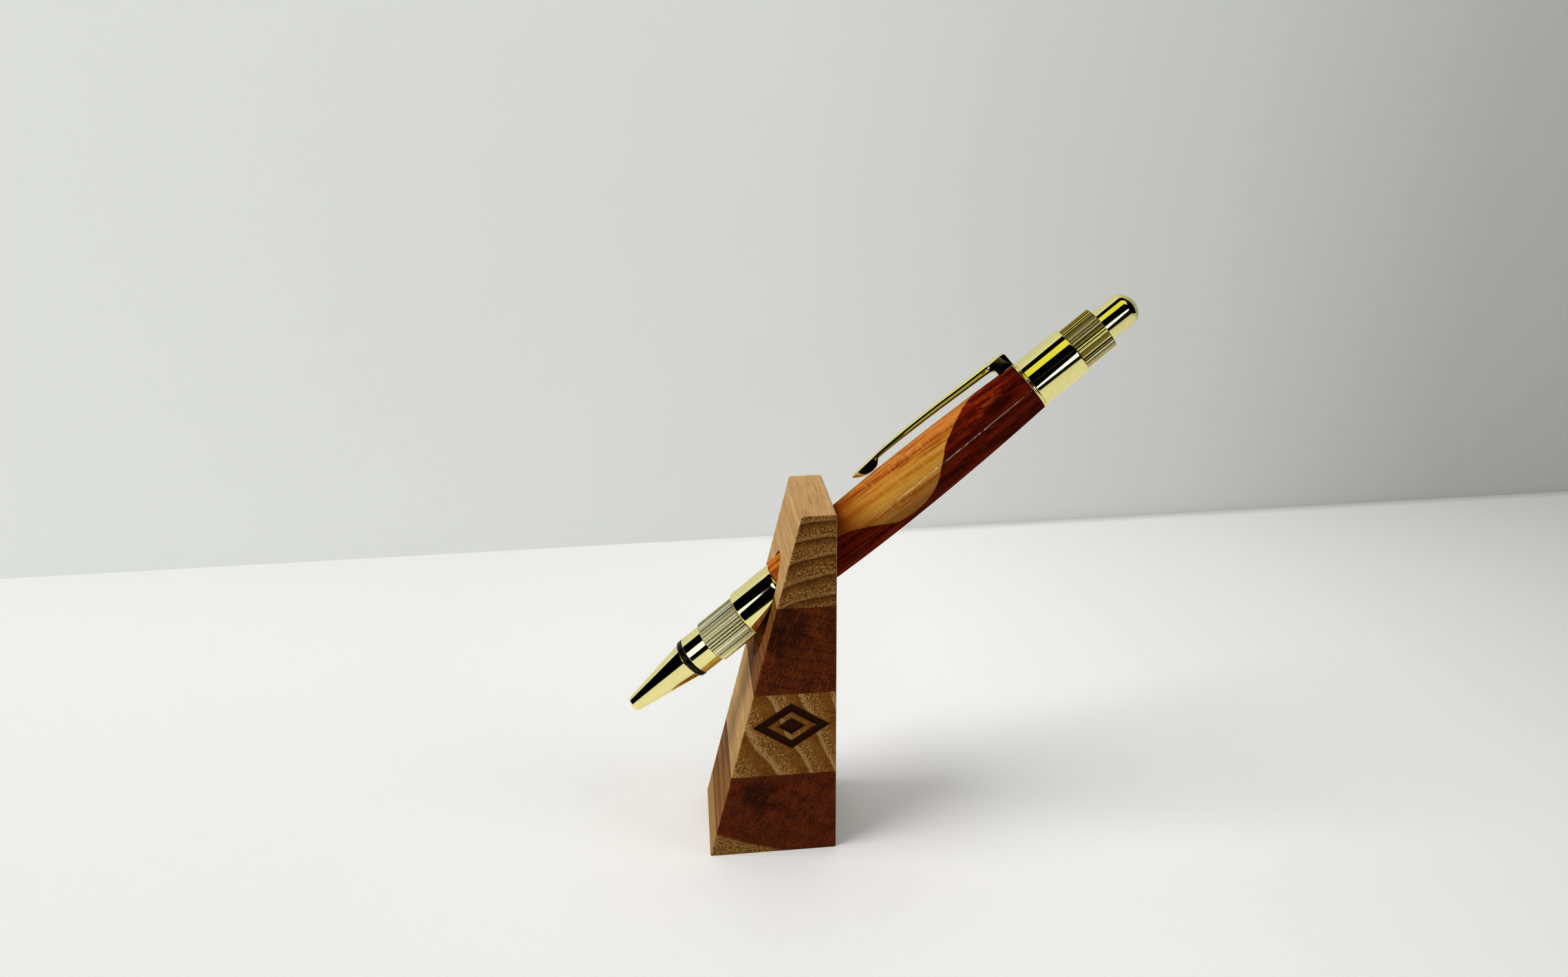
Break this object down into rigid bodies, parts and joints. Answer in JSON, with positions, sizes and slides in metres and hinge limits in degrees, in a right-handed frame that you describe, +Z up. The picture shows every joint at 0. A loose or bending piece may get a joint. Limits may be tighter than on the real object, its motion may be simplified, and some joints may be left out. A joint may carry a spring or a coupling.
{
  "type": "retractable pen on an angled wooden stand",
  "caption": "Retractable ball pen with a turned wooden barrel and polished gold-coloured fittings, lying in an oblique bore through a tapered, laminated wooden desk stand.",
  "frame": {"origin": "centre of the stand's base, on the surface it stands on", "axes": "+X towards the pen's button end, away from the sloping front face of the stand; +Y away from the viewer, to the side that the clip leans to; +Z up"},
  "size_m": [0.1069, 0.0244, 0.1197],
  "materials": {
    "ash_wood": "satin",
    "dark_wood": "satin",
    "golden_wood": "satin",
    "barrel_wood": "satin",
    "polished_gold": "polished",
    "knurled_gold": "gloss",
    "black_trim": "gloss",
    "brass_insert": "satin",
    "aluminium_insert": "satin",
    "mechanism_plastic": "matte",
    "refill_plastic": "gloss",
    "spring_steel": "satin"
  },
  "bodies": {
    "stand": {"base_lamination": "dark_wood", "lower_light_lamination": "golden_wood", "upper_dark_lamination": "dark_wood", "top_lamination": "ash_wood"},
    "pen_body": {"wood_barrel": "barrel_wood", "barrel_tube": "brass_insert", "front_threaded_bush": "brass_insert", "lower_band": "polished_gold", "rear_threaded_bush": "aluminium_insert", "clip_ring": "polished_gold", "upper_band": "polished_gold", "upper_knurled_ring": "knurled_gold", "mechanism_housing": "mechanism_plastic"},
    "clip": {"clip_arm": "polished_gold"},
    "nib_carrier": {"trim_ring": "black_trim"},
    "nib": {"nib_cone": "polished_gold", "front_coupler": "polished_gold", "lower_knurled_ring": "knurled_gold", "return_spring": "spring_steel"},
    "button": {"push_button": "polished_gold", "plunger_cam": "mechanism_plastic"},
    "refill": {"refill_tube": "refill_plastic", "refill_tip": "brass_insert", "refill_ball": "spring_steel", "refill_plug": "refill_plastic"},
    "ratchet": {"ratchet_cam": "mechanism_plastic"}
  },
  "joints": [
    {"name": "pen_withdraw", "type": "slide", "parent": "stand", "child": "pen_body", "axis": [0.7749, 0, 0.632], "range_m": [0, 0.066]},
    {"name": "clip_flex", "type": "hinge", "parent": "pen_body", "child": "clip", "pos_m": [0.04783, 0.00283, 0.10486], "axis": [0.2265, 0.9336, -0.2777], "range_deg": [0, 5], "stiffness_Nm_per_rad": 0.6, "springref_deg": -2.86},
    {"name": "nib_travel", "type": "slide", "parent": "pen_body", "child": "nib_carrier", "axis": [-0.7749, 0, -0.632], "range_m": [0, 0.008]},
    {"name": "nib_turn", "type": "hinge", "parent": "nib_carrier", "child": "nib", "pos_m": [-0.02935, 0, 0.03241], "axis": [-0.7749, 0, -0.632], "range_deg": [0, 2880]},
    {"name": "button_press", "type": "slide", "parent": "pen_body", "child": "button", "axis": [-0.7749, 0, -0.632], "range_m": [0, 0.005], "stiffness_N_per_m": 300, "springref_m": -0.004, "deforming": ["return_spring"]},
    {"name": "refill_advance", "type": "slide", "parent": "pen_body", "child": "refill", "axis": [-0.7749, 0, -0.632], "range_m": [0, 0.005]},
    {"name": "ratchet_turn", "type": "hinge", "parent": "refill", "child": "ratchet", "pos_m": [0.04892, 0, 0.09624], "axis": [-0.7749, 0, -0.632], "range_deg": [0, 45]}
  ],
  "couplings": [
    {"joint": "nib_turn", "follows": "nib_travel", "rad_per_m": 6283.2},
    {"joint": "refill_advance", "follows": "button_press", "ratio": 1},
    {"joint": "ratchet_turn", "follows": "button_press", "rad_per_m": 157.08}
  ]
}
